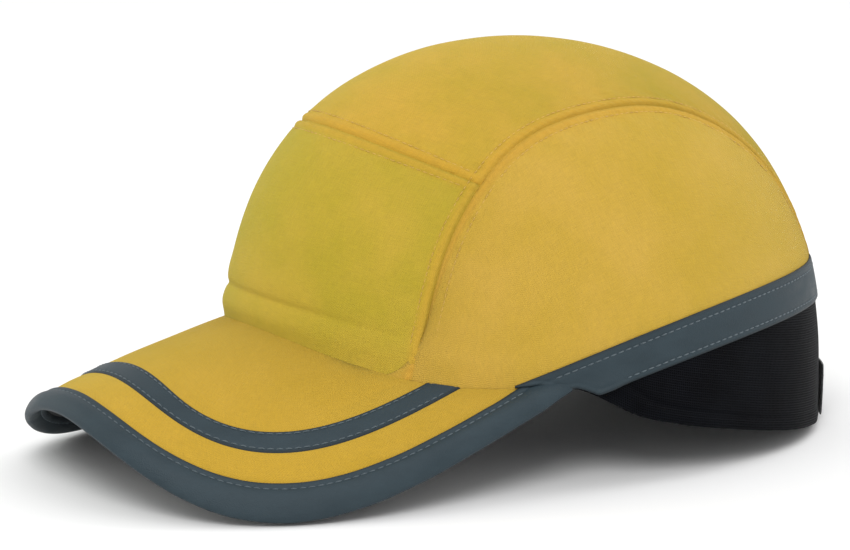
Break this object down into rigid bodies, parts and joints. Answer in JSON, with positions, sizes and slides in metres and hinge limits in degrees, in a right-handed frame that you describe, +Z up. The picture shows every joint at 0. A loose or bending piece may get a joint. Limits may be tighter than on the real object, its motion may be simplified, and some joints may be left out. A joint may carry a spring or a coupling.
{
  "type": "bump cap",
  "caption": "Baseball-style bump cap: high-visibility fabric cover with reflective trims and arched brim, black neck mesh, pull-out padded ABS insert and rear hook-and-loop strap.",
  "frame": {"origin": "centre of the footprint on the floor the cap stands on", "axes": "-Y points out of the brow along the brim, +X is the wearer's left, +Z up from the floor"},
  "size_m": [0.1672, 0.302, 0.1397],
  "materials": {
    "hi_vis_fabric": "matte woven",
    "black_mesh": "matte knitted mesh",
    "reflective_tape": "satin retro-reflective",
    "black_fabric": "matte woven",
    "hook_and_loop": "matte pile",
    "stiffener": "matte buckram",
    "brim_board": "matte",
    "abs": "satin",
    "foam": "matte foam",
    "terry": "matte terry",
    "soft_rubber": "matte"
  },
  "bodies": {
    "cover": {"front_panel": "hi_vis_fabric", "crown_panel": "hi_vis_fabric", "side_panel_left": "hi_vis_fabric", "side_panel_right": "hi_vis_fabric", "neck_mesh_left": "black_mesh", "neck_mesh_right": "black_mesh", "rear_reflective_band": "reflective_tape", "rim_tape": "black_fabric", "rear_opening_binding": "black_fabric", "loop_tab": "hook_and_loop", "front_stiffener": "stiffener", "seam_tape_front": "black_fabric", "seam_tape_left": "black_fabric", "seam_tape_right": "black_fabric", "brim_top_cover": "hi_vis_fabric", "brim_board": "brim_board", "brim_under_cover": "black_fabric", "brim_edge_binding": "reflective_tape", "brim_reflective_stripe": "reflective_tape"},
    "insert": {"abs_shell": "abs", "crown_pad": "foam", "front_pad": "foam", "side_pad_left": "foam", "side_pad_right": "foam", "rear_pad": "foam", "sweatband": "terry"},
    "rear_strap": {"hook_strap": "black_fabric", "hook_patch": "hook_and_loop", "pull_tab": "soft_rubber"}
  },
  "joints": [
    {"name": "insert_release", "type": "slide", "parent": "cover", "child": "insert", "axis": [0, -0.0745, -0.9972], "range_m": [0, 0.13]},
    {"name": "strap_peel", "type": "hinge", "parent": "cover", "child": "rear_strap", "pos_m": [-0.0468, 0.133, 0.0107], "axis": [0, 0.0745, 0.9972], "range_deg": [0, 100]}
  ]
}
